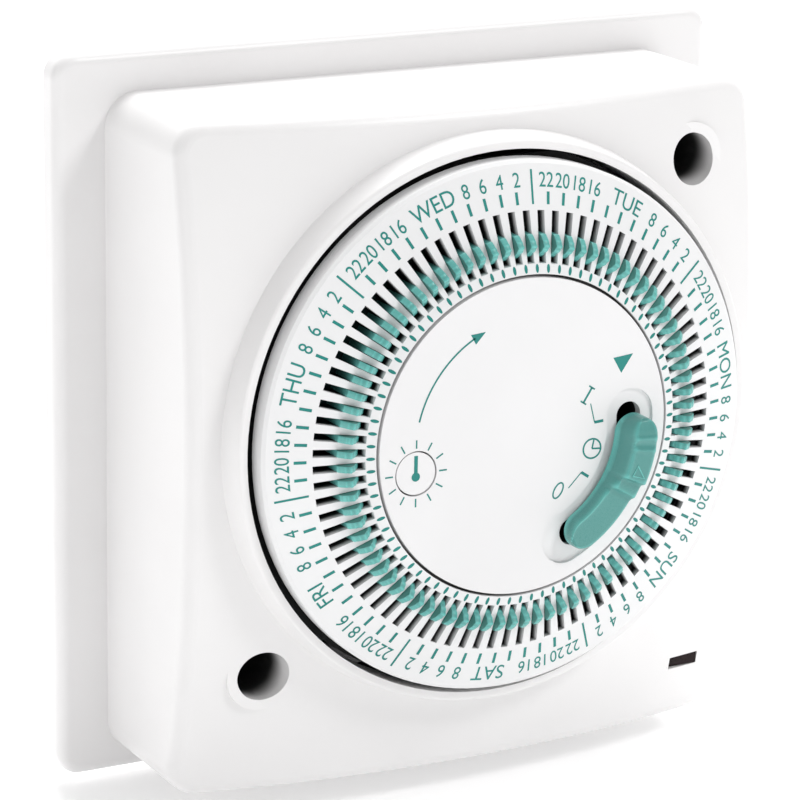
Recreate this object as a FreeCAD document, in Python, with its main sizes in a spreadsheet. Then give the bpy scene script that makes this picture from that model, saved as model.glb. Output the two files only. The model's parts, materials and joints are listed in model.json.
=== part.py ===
"""Seven-day segment time switch on a square wall plate, as separate pieces.

Every piece is drawn face up: local x to the right, y up the wall and z out of the wall,
measured from the wall. FRONT then stands the pieces up, so that the object's back lies in
Y = 0, its face looks along -Y and +Z is up. Pieces of the dial and the movement are drawn
about the dial's axis, which runs a little above the middle of the wall plate.
"""
import FreeCAD, Part
import math
import os
import Sketcher
from FreeCAD import Placement, Rotation, Vector

os.makedirs("parts", exist_ok=True)
doc = FreeCAD.newDocument("programmable_timer")

# Driving dimensions in millimetres, with depths measured out of the wall. Angles are in degrees,
# anticlockwise from the right as seen from the front.
DIMENSIONS = {
    # wall plate
    "plate_size": 120, "plate_depth": 4.5, "plate_floor": 2.2, "plate_corner": 4, "plate_edge": 1.8,
    "fixing_spacing": 60.3, "fixing_radius": 2.25, "fixing_slot": 9, "fixing_height": 30,
    "entry_radius": 10, "entry_height": -34, "post_radius": 3.4, "post_front": 12,
    # cover
    "cover_width": 103, "cover_height": 110, "cover_drop": 1.5, "cover_corner": 5.5,
    "cover_edge": 2.6, "wall": 2.2, "dome_radius": 225, "dome_front": 42, "block_front": 44,
    "lip_radius": 44.4, "lip_front": 41.7, "lip_edge": 0.6, "boss_top": 45.8, "boss_base": 47.2,
    "boss_back": 34.6, "screw_offset": 38.3, "screw_hole": 4.2, "tube_radius": 5.9,
    "screw_seat": 14.5, "screw_seat_depth": 1.8, "pilot_radius": 1.9,
    "screw_tip": 2,
    "window_x": 41.9, "window_y": -49, "window_width": 6.2, "window_height": 2.2,
    "window_back": 27.3,
    # dial
    "dial_height": 3, "rim_radius": 43.1, "rim_front": 44.2, "rim_round": 0.5, "skirt_back": 40.6,
    "skirt_wall": 1.7, "shell": 2, "dial_inner": 26.1, "dial_front": 49.15, "collar_radius": 24.06,
    "collar_outer": 27, "collar_front": 47, "collar_back": 39, "slot_inner": 27.7,
    "slot_outer": 35.6, "slot_width": 1.25, "slot_count": 84, "slot_phase": 2.77,
    "first_slot": 31,
    "carrier_back": 39.1, "carrier_front": 40.2, "carrier_inner": 27.05, "carrier_outer": 36.6,
    # tappets
    "tappet_width": 1.05, "tappet_inner": 28.5, "tappet_tip": 32.2, "tappet_tail": 36.9,
    "tappet_back": 40.25, "tappet_shelf": 42.4, "tappet_low": 48.8, "tappet_high": 49.6,
    "tappet_notch": 0.35,
    # centre
    "disc_radius": 25.6, "disc_front": 49.3, "disc_depth": 2, "seat_radius": 24, "seat_bore": 22.4,
    "seat_front": 47.3, "seat_wall": 1.4, "indicator_radius": 3.4, "indicator_gap": 0.25,
    "indicator_reach": 19.5, "indicator_angle": 190.4,
    "lever_reach": 19.3, "lever_slot_half": 2.2, "lever_slot_start": -61, "lever_slot_end": 3.5,
    "lever_start": -57.5, "lever_end": -3.5, "lever_half": 2.9, "lever_back": 49.6,
    "lever_front": 54.4, "lever_tail_front": 53.2, "lever_step": -28, "stem_half": 1.8,
    "stem_start": -43, "stem_end": -14.5, "arm_back": 41.5, "arm_front": 43.5,
    "lever_hub": 4, "lever_pin": 1.5, "recess_depth": 0.5, "recess_half": 4.2,
    "recess_start": -66, "recess_end": 4.5,
    # movement
    "case_half": 42, "case_round": 43.8, "case_back": 6, "case_front": 33.4, "case_wall": 1.6,
    "deck_back": 33.4, "deck_front": 35.4, "gear_back": 35.9, "gear_front": 38.7,
    "tooth_module": 0.5, "dial_teeth": 120, "pinion_teeth": 12, "wheel_teeth": 30,
    "indicator_teeth": 24, "arbor_reach": 33, "wheel_back": 29.4, "wheel_front": 31.4,
    "motor_turn": -45, "motor_radius": 17, "motor_back": 9, "motor_front": 26,
    "motor_x": -15.6, "motor_y": -18.6, "arbor_radius": 0.8, "bearing_gap": 0.05,
    "foot_reach": 33, "foot_angle": 135,
    # switch
    "switch_x": 30, "switch_y": 4, "switch_back": 19.4, "switch_width": 9, "switch_length": 26,
    "switch_depth": 9, "blade_length": 18, "blade_width": 4, "blade_thickness": 0.4, "blade_gap": 1.6,
    "follower_x": 37, "follower_y": -3, "follower_pin": 1.2, "nose_reach": 37.9, "nose_angle": 30,
    "nose_radius": 0.7, "follower_half": 1.3, "follower_back": 36, "follower_front": 38.6,
    # terminals
    "terminal_pitch": 12, "block_length": 62, "block_height": 9, "block_depth": 12,
}

sheet = doc.addObject("Spreadsheet::Sheet", "dims")
for row, (alias, value) in enumerate(DIMENSIONS.items(), start=1):
    sheet.set("A%d" % row, alias)
    sheet.set("B%d" % row, str(value))
    sheet.setAlias("B%d" % row, alias)
doc.recompute()

PARTS = []
FRONT = Rotation(Vector(1, 0, 0), 90)


def dim(alias):
    """The plain value of one cell of the sheet."""
    return float(sheet.get(alias))


def bind(thing, **expressions):
    """Drive a feature's properties from the sheet."""
    for prop, expression in expressions.items():
        thing.setExpression(prop, named(expression))
    return thing


def named(expression):
    """Write the sheet's name before each alias of an expression."""
    words = str(expression).replace("(", "( ").replace(")", " )").split()
    return " ".join("dims." + word if word in DIMENSIONS else word for word in words)


def locate(thing, x, y, z):
    for axis, expression in (("x", x), ("y", y), ("z", z)):
        thing.setExpression("Placement.Base." + axis, named(expression))
    return thing


def box(width, height, depth, x="0", y="0", z="0"):
    """A block centred on x and y that starts at depth z."""
    block = bind(doc.addObject("Part::Box", "block"), Length=width, Width=height, Height=depth)
    return locate(block, "( %s ) - ( %s ) / 2" % (x, width), "( %s ) - ( %s ) / 2" % (y, height), z)


def rod(radius, depth, x="0", y="0", z="0"):
    return locate(bind(doc.addObject("Part::Cylinder", "rod"), Radius=radius, Height=depth), x, y, z)


def polar(reach, angle):
    """Expressions for the x and y of a point at a reach and an angle about the dial's axis."""
    return "%s * cos( %s )" % (reach, angle), "%s * sin( %s )" % (reach, angle)


def join(*pieces):
    if len(pieces) == 1:
        return pieces[0]
    fused = doc.addObject("Part::MultiFuse", "join")
    fused.Shapes = list(pieces)
    return fused


def cut(base, *tools):
    remains = doc.addObject("Part::Cut", "cut")
    remains.Base = base
    remains.Tool = join(*tools)
    return remains


def common(base, tool):
    shared = doc.addObject("Part::Common", "common")
    shared.Base = base
    shared.Tool = tool
    return shared


def group(*pieces):
    bundle = doc.addObject("Part::Compound", "group")
    bundle.Links = list(pieces)
    return bundle


def node(name, thing, raised=True):
    """Name a sub-part and stand it up, on the dial's axis or on the plate's middle."""
    thing.Label = name
    height = dim("dial_height") if raised else 0
    thing.Placement = Placement(Vector(0, 0, height), FRONT)
    PARTS.append(thing)
    return thing


def sketch_on(body, plane, points):
    """A closed outline of straight lines whose corners are driven from the sheet."""
    drawing = body.newObject("Sketcher::SketchObject", "outline")
    origin_plane = [item for item in body.Origin.OriginFeatures if item.Role == plane][0]
    drawing.AttachmentSupport = [(origin_plane, "")]
    drawing.MapMode = "FlatFace"
    count = len(points)
    starts = [Vector(50 * math.cos(math.tau * i / count), 50 * math.sin(math.tau * i / count), 0)
              for i in range(count)]
    for i in range(count):
        drawing.addGeometry(Part.LineSegment(starts[i], starts[(i + 1) % count]), False)
    for i in range(count):
        drawing.addConstraint(Sketcher.Constraint("Coincident", i, 2, (i + 1) % count, 1))
    for i, point in enumerate(points):
        for kind, axis, start, expression in zip(("DistanceX", "DistanceY"), (-2, -1),
                                                 (starts[i].x, starts[i].y), point):
            if str(expression) == "0":
                drawing.addConstraint(Sketcher.Constraint("PointOnObject", i, 1, axis))
                continue
            index = drawing.addConstraint(Sketcher.Constraint(kind, -1, 1, i, 1, start))
            label = "%s_%d" % (kind, i)
            drawing.renameConstraint(index, label)
            drawing.setExpression("Constraints." + label, named(expression))
    doc.recompute()
    return drawing


def revolved(points):
    """A body turned about local z from an outline of radius and depth."""
    body = doc.addObject("PartDesign::Body", "turned")
    drawing = sketch_on(body, "XZ_Plane", points)
    turn = body.newObject("PartDesign::Revolution", "turn")
    turn.Profile = drawing
    turn.ReferenceAxis = (drawing, ["V_Axis"])
    turn.Angle = 360
    doc.recompute()
    return body


def padded(points, depth, plane="XY_Plane", midplane=False):
    """A body raised from an outline."""
    body = doc.addObject("PartDesign::Body", "raised")
    drawing = sketch_on(body, plane, points)
    pad = body.newObject("PartDesign::Pad", "pad")
    pad.Profile = drawing
    pad.Midplane = midplane
    bind(pad, Length=depth)
    doc.recompute()
    return body


def round_edges(body, radius, wanted):
    """Fillet the edges of a body's last feature that pass a test."""
    last = body.Tip
    names = ["Edge%d" % (i + 1) for i, edge in enumerate(last.Shape.Edges) if wanted(edge)]
    rounding = body.newObject("PartDesign::Fillet", "round")
    rounding.Base = (last, names)
    bind(rounding, Radius=radius)
    doc.recompute()
    return body


def upright(edge):
    """True for an edge that runs straight out of the wall."""
    low, high = edge.BoundBox.ZMin, edge.BoundBox.ZMax
    return high - low > 1 and edge.BoundBox.XLength < 0.01 and edge.BoundBox.YLength < 0.01


def at_depth(depth):
    return lambda edge: abs(edge.BoundBox.ZMin - depth) < 0.01 and abs(edge.BoundBox.ZMax - depth) < 0.01


def rounded_block(width, height, depth, corner, middle="0"):
    """A plate with rounded corners, centred on x, that starts at the wall."""
    right, left = "( %s ) / 2" % width, "0 - ( %s ) / 2" % width
    top, bottom = "%s + ( %s ) / 2" % (middle, height), "%s - ( %s ) / 2" % (middle, height)
    body = padded([(left, bottom), (right, bottom), (right, top), (left, top)], depth)
    return round_edges(body, corner, upright)


def slice_of_ring(middle, half, start, end, back, front):
    """A curved bar about the dial's axis with round ends, such as a curved slot."""
    span = "( %s ) - ( %s )" % (end, start)
    ring = cut(rod("%s + %s" % (middle, half), "( %s ) - ( %s )" % (front, back), z=back),
               rod("%s - %s" % (middle, half), "( %s ) - ( %s )" % (front, back), z=back))
    wedge = rod("%s + 10" % middle, "( %s ) - ( %s )" % (front, back), z=back)
    bind(wedge, Angle=span)
    wedge.Placement.Rotation = Rotation(Vector(0, 0, 1), dim(start))
    ends = [rod(half, "( %s ) - ( %s )" % (front, back), *polar(middle, angle), z=back)
            for angle in (start, end)]
    return join(common(ring, wedge), *ends)


def gear(teeth, back, front, bore, x=0.0, y=0.0, turn=0.0):
    """A spur gear with straight-flanked teeth; one tooth points along turn."""
    pitch = dim("tooth_module") * teeth / 2
    tip, root = pitch + 0.42, pitch - 0.6
    step = 360.0 / teeth
    outline = []
    for tooth in range(teeth):
        for radius, offset in ((root, -0.30), (tip, -0.12), (tip, 0.12), (root, 0.30)):
            angle = math.radians(turn + (tooth + offset) * step)
            outline.append(Vector(radius * math.cos(angle), radius * math.sin(angle), 0))
    blank = Part.Face(Part.makePolygon(outline + outline[:1])).extrude(Vector(0, 0, front - back))
    if bore:
        blank = blank.cut(Part.makeCylinder(bore, front - back))
    blank.translate(Vector(x, y, back))
    return blank


def feature(shape):
    piece = doc.addObject("Part::Feature", "piece")
    piece.Shape = shape
    return piece


def gap(far, near):
    return "( %s ) - ( %s )" % (far, near)


COVER_SCREWS = [("screw_offset", "screw_offset + dial_height"),
                ("0 - screw_offset", "dial_height - screw_offset")]
FOOT_ANGLES = (0, 180)
DAYS = ("wednesday", "tuesday", "monday", "sunday", "saturday", "friday", "thursday")


def wall_plate():
    """The square plate that is screwed to the wall, with two posts for the cover's screws."""
    slab = rounded_block("plate_size", "plate_size", "plate_depth", "plate_corner")
    round_edges(slab, "plate_edge", at_depth(dim("plate_depth")))
    recess = box("cover_width - 2 * wall - 0.4", "cover_height - 2 * wall - 0.4",
                 gap("plate_depth", "plate_floor"), y="0 - cover_drop", z="plate_floor")
    posts = [rod("post_radius", gap("post_front", "0.5"), x, y, "0.5") for x, y in COVER_SCREWS]
    feet = [rod("post_radius", gap("case_back", "0.5"), *foot_place(turn), z="0.5") for turn in FOOT_ANGLES]
    pilots = [rod("pilot_radius", "post_front", x, y, "1.2") for x, y in COVER_SCREWS]
    pilots += [rod("pilot_radius - 0.4", "case_back", *foot_place(turn), z="1.2") for turn in FOOT_ANGLES]
    half = "fixing_slot / 2 - fixing_radius"
    slots = []
    for side in ("0 - fixing_spacing / 2", "fixing_spacing / 2"):
        slots.append(box("fixing_slot - 2 * fixing_radius", "2 * fixing_radius", "plate_depth", side,
                         "fixing_height"))
        for end in ("%s - ( %s )" % (side, half), "%s + ( %s )" % (side, half)):
            slots.append(rod("fixing_radius", "plate_depth", end, "fixing_height"))
    entry = rod("entry_radius", "plate_depth", "0", "entry_height")
    body = join(cut(slab, recess), *posts, *feet)
    node("wall_plate", cut(body, *pilots, *slots, entry), raised=False)


def cover():
    """The deep moulded cover: a domed face with a raised lip round the dial."""
    def dome(radius):
        ball = bind(doc.addObject("Part::Sphere", "dome"), Radius=radius)
        return locate(ball, "0", "dial_height", "dome_front - dome_radius")

    outside = common(rounded_block("cover_width", "cover_height", "block_front", "cover_corner",
                                   "0 - cover_drop"), dome("dome_radius"))
    doc.recompute()
    crown = [i + 1 for i, edge in enumerate(outside.Shape.Edges)
             if edge.BoundBox.ZMin > 20 and not upright(edge)]
    soft = doc.addObject("Part::Fillet", "soft_edge")
    soft.Base = outside
    soft.Edges = [(i, dim("cover_edge"), dim("cover_edge")) for i in crown]
    inside = common(rounded_block("cover_width - 2 * wall", "cover_height - 2 * wall", "block_front",
                                  "cover_corner - wall", "0 - cover_drop"), dome("dome_radius - wall"))
    boss = bind(doc.addObject("Part::Cone", "boss"), Radius1="boss_base", Radius2="boss_top",
                Height=gap("lip_front", "boss_back"))
    locate(boss, "0", "dial_height", "boss_back")
    doc.recompute()
    top_edge = [i + 1 for i, edge in enumerate(boss.Shape.Edges) if at_depth(dim("lip_front"))(edge)]
    lip = doc.addObject("Part::Fillet", "lip")
    lip.Base = boss
    lip.Edges = [(i, dim("lip_edge"), dim("lip_edge")) for i in top_edge]
    tubes = [rod("tube_radius", gap("dome_front - 7.5", "screw_seat - screw_seat_depth"), x, y,
                 "screw_seat - screw_seat_depth") for x, y in COVER_SCREWS]
    shell = join(cut(soft, inside), lip, *tubes)
    mouths = [rod("screw_hole", "dome_front", x, y, "screw_seat") for x, y in COVER_SCREWS]
    shanks = [rod("pilot_radius + 0.3", "dome_front", x, y, "plate_depth") for x, y in COVER_SCREWS]
    behind_wall = box("plate_size", "plate_size", "plate_depth")
    window = box("window_width", "window_height", "dome_front", "window_x", "window_y + dial_height")
    opening = rod("lip_radius", "dome_front", "0", "dial_height")
    node("cover", cut(shell, opening, behind_wall, window, *mouths, *shanks), raised=False)


def cover_trim():
    """The cover's two screws and the small window with its lamp behind."""
    screws = []
    for x, y in COVER_SCREWS:
        head = rod("screw_hole - 0.7", "2.2", x, y, "screw_seat")
        shank = rod("pilot_radius - 0.1", gap("screw_seat", "screw_tip"), x, y, "screw_tip")
        slot = box("2 * screw_hole", "0.9", "1", x, y, "screw_seat + 1.2")
        screws.append(cut(join(head, shank), slot))
    node("cover_screws", group(*screws), raised=False)
    place = ("window_x", "window_y + dial_height")
    glass = box("window_width + 2", "window_height + 2", "1.2", *place, "window_back")
    tongue = box("window_width - 0.2", "window_height - 0.2", "4", *place, "window_back + 0.6")
    node("indicator_window", join(glass, tongue), raised=False)
    lamp = rod("2.4", "9", "window_x", "window_y + dial_height + 2.5", "window_back - 10")
    node("indicator_lamp", group(lamp), raised=False)


def foot_place(turn):
    x, y = polar("foot_reach", "( foot_angle + %d )" % turn)
    return x, y + " + dial_height"


def dial():
    """The seven-day ring with its slots, the floor that carries the tappets, and its gear."""
    profile = [("collar_radius", "collar_back"), ("collar_outer", "collar_back"),
               ("collar_outer", "dial_front - shell - 0.4"),
               ("rim_radius - skirt_wall", "rim_front - shell + skirt_wall * 0.3"),
               ("rim_radius - skirt_wall", "skirt_back"), ("rim_radius", "skirt_back"),
               ("rim_radius", "rim_front - rim_round"), ("rim_radius - rim_round", "rim_front"),
               ("dial_inner", "dial_front"), ("dial_inner", "collar_front"),
               ("collar_radius", "collar_front")]
    ring = revolved(profile)
    outline = [("slot_inner", "0 - slot_width / 2"), ("slot_outer", "0 - slot_width / 2"),
               ("slot_outer", "slot_width / 2"), ("slot_inner", "slot_width / 2")]
    slot = sketch_on(ring, "XY_Plane", outline)
    pocket = ring.newObject("PartDesign::Pocket", "slot")
    pocket.Profile = slot
    pocket.Type = "ThroughAll"
    pocket.Reversed = True
    doc.recompute()
    slots = ring.newObject("PartDesign::PolarPattern", "slots")
    slots.Originals = [pocket]
    slots.Axis = (slot, ["N_Axis"])
    slots.Angle = 360
    bind(slots, Occurrences="slot_count")
    ring.Tip = slots
    doc.recompute()
    node("programme_dial", turned_group(ring, dim("slot_phase")))
    floor = [("carrier_inner", "carrier_back"), ("carrier_outer", "carrier_back"),
             ("carrier_outer", "carrier_front"), ("carrier_inner", "carrier_front")]
    node("tappet_carrier", revolved(floor))
    back, front = dim("gear_back"), dim("gear_front")
    wheel = gear(int(dim("dial_teeth")), back, front, dim("collar_radius"), turn=dim("indicator_angle"))
    neck_depth = dim("collar_back") - front
    neck = Part.makeCylinder(dim("collar_outer"), neck_depth, Vector(0, 0, front))
    neck = neck.cut(Part.makeCylinder(dim("collar_radius"), neck_depth, Vector(0, 0, front)))
    node("dial_gear", feature(wheel.fuse(neck)))


def turned_group(piece, angle):
    """A piece turned about the dial's axis."""
    piece.Placement.Rotation = Rotation(Vector(0, 0, 1), angle)
    return group(piece)


def tappets():
    """Eighty-four sliding tappets: one day as pieces that move, the other days in groups."""
    low, high = "tappet_low", "tappet_high"
    steps = 4
    run = "( tappet_tip - tappet_inner - 0.9 ) / %d" % steps
    rise = "( tappet_high - tappet_low ) / %d" % steps
    outline = [("tappet_inner", "tappet_back"), ("tappet_tail", "tappet_back"),
               ("tappet_tail", "tappet_shelf"), ("tappet_tip", "tappet_shelf"),
               ("tappet_tip", "tappet_high - 0.7"), ("tappet_tip - 0.25", "tappet_high - 0.2"),
               ("tappet_tip - 0.8", high)]
    for step in reversed(range(steps)):
        reach = "tappet_inner + %d * %s" % (step, run)
        crest = "%s + %d * %s" % (low, step, rise)
        outline += [("%s + 0.4" % reach, crest), (reach, "%s - tappet_notch" % crest)]
    blank = padded(outline, "tappet_width", "XZ_Plane", midplane=True)
    pitch = 360 / dim("slot_count")
    per_day = int(dim("slot_count")) // len(DAYS)
    first = dim("slot_phase") + dim("first_slot") * pitch
    for number, day in enumerate(DAYS):
        angles = [first - (number * per_day + i) * pitch for i in range(per_day)]
        if number:
            node("tappets_" + day, group(*[turned_copy(blank, angle) for angle in angles]))
            continue
        for i, angle in enumerate(angles, start=1):
            node("tappet_%02d" % i, group(turned_copy(blank, angle)))


def turned_copy(piece, angle):
    copy = doc.addObject("Part::Compound", "copy")
    copy.Links = [piece]
    copy.Placement = Placement(Vector(0, 0, 0), Rotation(Vector(0, 0, 1), angle))
    return copy


def lever():
    """The manual lever: a curved thumb piece on a stem, with an arm that turns on a centre pin."""
    pad = slice_of_ring("lever_reach", "lever_half", "lever_step", "lever_end", "lever_back",
                        "lever_front")
    tail = slice_of_ring("lever_reach", "lever_half", "lever_start", "lever_step", "lever_back",
                         "lever_tail_front")
    stem = slice_of_ring("lever_reach", "stem_half", "stem_start", "stem_end", "arm_back",
                         "lever_back + 0.1")
    node("override_lever", join(pad, tail, stem))
    length, depth = "( lever_reach - 1.2 )", gap("arm_front", "arm_back")
    hub = rod("lever_hub", depth, z="arm_back")
    spoke = box(length, "3.4", depth, length + " / 2", "0", "arm_back")
    arm = turned_group(spoke, dim("lever_step"))
    bore = rod("lever_pin + bearing_gap", depth, z="arm_back")
    stem_hole = slice_of_ring("lever_reach", "stem_half", "stem_start", "stem_end", "arm_back",
                              "arm_front")
    node("lever_arm", cut(join(hub, arm), bore, stem_hole))


def centre():
    """The fixed middle: its moulded seat, the printed disc and the pin that the lever turns on."""
    tub = cut(rod("seat_radius", gap("seat_front", "deck_front"), z="deck_front"),
              rod("seat_bore", gap("seat_front - seat_wall", "deck_front"), z="deck_front"))
    slot = slice_of_ring("lever_reach", "lever_slot_half", "lever_slot_start", "lever_slot_end",
                         "seat_front - 2", "disc_front + 1")
    spindle = rod("indicator_radius + indicator_gap", "disc_front", *indicator_place(), z="seat_front - 2")
    node("dial_seat", cut(tub, slot, spindle))
    disc = cut(rod("disc_radius", "disc_depth", z=gap("disc_front", "disc_depth")), slot, spindle,
               slice_of_ring("lever_reach", "recess_half", "recess_start", "recess_end",
                             "disc_front - recess_depth", "disc_front + 1"))
    node("fascia_disc", disc)
    node("lever_pin", group(rod("lever_pin", gap("seat_front - seat_wall", "deck_front"), z="deck_front")))


def indicator_place():
    return polar("indicator_reach", "indicator_angle")


def movement():
    """The case of the movement, its front deck, the motor and the wheels that drive the dial."""
    size, depth = "2 * case_half", gap("case_front", "case_back")
    outside = common(box(size, size, depth, z="case_back"), rod("case_round", depth, z="case_back"))
    inner, inside_depth = "2 * case_half - 2 * case_wall", gap("case_front", "case_back + case_wall")
    inside = common(box(inner, inner, inside_depth, z="case_back + case_wall"),
                    rod("case_round - case_wall", inside_depth, z="case_back + case_wall"))
    feet = [rod("pilot_radius - 0.4", "case_back + 8", *polar("foot_reach", "( foot_angle + %d )" % turn))
            for turn in FOOT_ANGLES]
    node("movement_case", cut(outside, inside, *feet))
    floor = "case_back + case_wall"
    screws = []
    for turn in FOOT_ANGLES:
        x, y = polar("foot_reach", "( foot_angle + %d )" % turn)
        shank = rod("pilot_radius - 0.5", gap(floor, "screw_tip"), x, y, "screw_tip")
        screws.append(join(shank, rod("pilot_radius + 1", "1.6", x, y, floor)))
    node("movement_screws", group(*screws))
    arbor_x, arbor_y = polar("arbor_reach", "indicator_angle")
    hole = "arbor_radius + bearing_gap"
    deck = common(box(size, size, gap("deck_front", "deck_back"), z="deck_back"),
                  rod("case_round", gap("deck_front", "deck_back"), z="deck_back"))
    motor_x, motor_y = motor_place()
    through = gap("deck_front", "deck_back")
    holes = [rod(hole, through, arbor_x, arbor_y, "deck_back"),
             rod("arbor_radius * 1.5 + bearing_gap", through, *indicator_place(), z="deck_back"),
             rod("follower_pin", through, "follower_x", "follower_y", "deck_back")]
    node("movement_deck", cut(deck, *holes))
    can = cut(rod("motor_radius", gap("motor_front", "motor_back"), "motor_x", "motor_y", "motor_back"),
              rod(hole, gap("motor_front", "motor_back"), motor_x, motor_y, "motor_front - 6"))
    node("motor", can)
    coil = rod("motor_radius - 4", gap("motor_back", floor), "motor_x", "motor_y", floor)
    node("motor_coil", group(coil))


def motor_place():
    """The motor's spindle, one centre distance from the arbor of the reduction wheel."""
    arbor_x, arbor_y = polar("arbor_reach", "indicator_angle")
    reach = "( tooth_module * ( wheel_teeth + pinion_teeth ) / 2 )"
    x, y = polar(reach, "motor_turn")
    return "%s + %s" % (arbor_x, x), "%s + %s" % (arbor_y, y)


def train():
    """The wheels: motor pinion, reduction wheel with the dial's pinion, and the running indicator."""
    heading, motor_turn, module = dim("indicator_angle"), dim("motor_turn"), dim("tooth_module")
    pinion_teeth, wheel_teeth = int(dim("pinion_teeth")), int(dim("wheel_teeth"))
    indicator_teeth = int(dim("indicator_teeth"))
    arbor = polar_point(dim("arbor_reach"), heading)
    running = polar_point(dim("indicator_reach"), heading)
    motor = arbor + polar_point(module * (wheel_teeth + pinion_teeth) / 2, motor_turn)
    levels, wheels = (dim("gear_back"), dim("gear_front")), (dim("wheel_back"), dim("wheel_front"))
    spindle, stout = dim("arbor_radius"), 1.5 * dim("arbor_radius")
    half_tooth = 180 / pinion_teeth

    shaft = upright_rod(spindle, arbor, dim("case_back") + dim("case_wall") + 0.1, levels[1])
    pinion = gear(pinion_teeth, *levels, 0, arbor.x, arbor.y, heading + half_tooth)
    node("dial_pinion", feature(pinion.fuse(shaft)))
    wheel = gear(wheel_teeth, *wheels, 0, arbor.x, arbor.y, heading)
    node("reduction_wheel", feature(wheel.cut(shaft)))

    # the motor's pinion is turned until one of its gaps meets the wheel's tooth beside it
    past_tooth = (motor_turn - heading) % (360 / wheel_teeth)
    phase = motor_turn + 180 + half_tooth + past_tooth * wheel_teeth / pinion_teeth
    drive = gear(pinion_teeth, *wheels, 0, motor.x, motor.y, phase)
    axle = upright_rod(spindle, motor, dim("motor_front") - 4, wheels[1])
    node("motor_pinion", feature(drive.fuse(axle)))

    small = gear(indicator_teeth, *wheels, 0, running.x, running.y, heading + 180 / indicator_teeth)
    stem = upright_rod(stout, running, dim("wheel_back") - 1.6, dim("disc_front") - 1)
    node("indicator_wheel", feature(small.fuse(stem)))
    cap = upright_rod(dim("indicator_radius"), running, dim("disc_front") - 1.7, dim("disc_front") - 0.1)
    node("running_indicator", feature(cap.cut(stem)))


def polar_point(reach, angle):
    return Vector(reach * math.cos(math.radians(angle)), reach * math.sin(math.radians(angle)), 0)


def upright_rod(radius, place, back, front):
    return Part.makeCylinder(radius, front - back, Vector(place.x, place.y, back))


def switching():
    """The switch that the tappets work: its follower, pin, base and contacts."""
    back, depth = "follower_back", gap("follower_front", "follower_back")
    pivot = Vector(dim("follower_x"), dim("follower_y"), 0)
    tip = polar_point(dim("nose_reach"), dim("nose_angle"))
    along = tip - pivot
    arm = bind(doc.addObject("Part::Box", "arm"), Width="2 * follower_half", Height=depth)
    arm.Length = along.Length
    turn = Rotation(Vector(0, 0, 1), math.degrees(math.atan2(along.y, along.x)))
    corner = turn.multVec(Vector(0, -dim("follower_half"), 0))
    arm.Placement = Placement(pivot + corner + Vector(0, 0, dim("follower_back")), turn)
    nose_x, nose_y = polar("nose_reach", "nose_angle")
    eye = rod("2 * follower_half", depth, "follower_x", "follower_y", back)
    nose = rod("nose_radius", gap("tappet_shelf", back), nose_x, nose_y, back)
    heel = rod("follower_half", depth, nose_x, nose_y, back)
    hole = rod("follower_pin + bearing_gap", depth, "follower_x", "follower_y", back)
    node("switch_follower", cut(join(arm, eye, heel, nose), hole))
    node("follower_pin", group(rod("follower_pin", gap("follower_front + 0.1", "deck_back"), "follower_x",
                                   "follower_y", "deck_back")))
    base = cut(box("switch_width", "switch_length", "switch_depth", "switch_x", "switch_y", "switch_back"),
               box("switch_width - 3", "switch_length - 4", "switch_depth", "switch_x", "switch_y",
                   "switch_back + 3"))
    node("switch_base", base)
    blade = ("blade_thickness", "blade_length", "blade_width")
    fixed = box(*blade, "switch_x - blade_gap", "switch_y", "switch_back + 3.5")
    rivet = rod("1.1", "1.2", "switch_x - blade_gap + 0.2", "switch_y + 6", "switch_back + 5")
    node("fixed_contact", join(fixed, rivet))
    moving = box(*blade, "switch_x + blade_gap", "switch_y", "switch_back + 3.5")
    node("moving_contact", group(moving))


def wiring():
    """Terminals for the supply and the load at the foot of the plate, under the cover."""
    rows = ["( %d * terminal_pitch )" % step for step in (-2, -1, 0, 1, 2)]
    height = "0 - cover_drop - cover_height / 2 + wall + 5.6"
    blocks = cut(box("block_length", "block_height", "block_depth", "0", height, "plate_floor"),
                 *[box("7", "7", "7", x, "( %s ) - 2" % height, "plate_floor + 3") for x in rows],
                 *[rod("2.2", "6", x, height, "plate_floor + 8") for x in rows])
    node("terminal_block", blocks, raised=False)
    clamps = [cut(box("6", "5", "5", x, "( %s ) - 1" % height, "plate_floor + 4"),
                  box("4", "7", "2.6", x, "( %s ) - 1" % height, "plate_floor + 4.8")) for x in rows]
    node("terminal_clamps", group(*clamps), raised=False)
    screws = [cut(rod("1.8", "4", x, height, "plate_floor + 9.2"),
                  box("4", "0.7", "1", x, height, "plate_floor + 12.6")) for x in rows]
    node("terminal_screws", group(*screws), raised=False)


wall_plate()
cover()
cover_trim()
movement()
train()
centre()
lever()
dial()
tappets()
switching()
wiring()

doc.recompute()
failed = [thing.Label for thing in doc.Objects if {"Invalid", "Error"} & set(thing.State)]
assert not failed, "failed features: %s" % failed
for part in PARTS:
    shape = part.Shape
    assert not shape.isNull() and shape.isValid() and shape.Volume > 0, part.Label
    shape.exportStep("parts/%s.step" % part.Label)
    print("%-20s solids %2d  volume %9.1f" % (part.Label, len(shape.Solids), shape.Volume))
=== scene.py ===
"""Looks of a seven-day segment time switch: print, lever, tappets, materials, studio and camera."""
import json
import math

import bmesh
import bpy
from mathutils import Matrix, Vector


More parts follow.
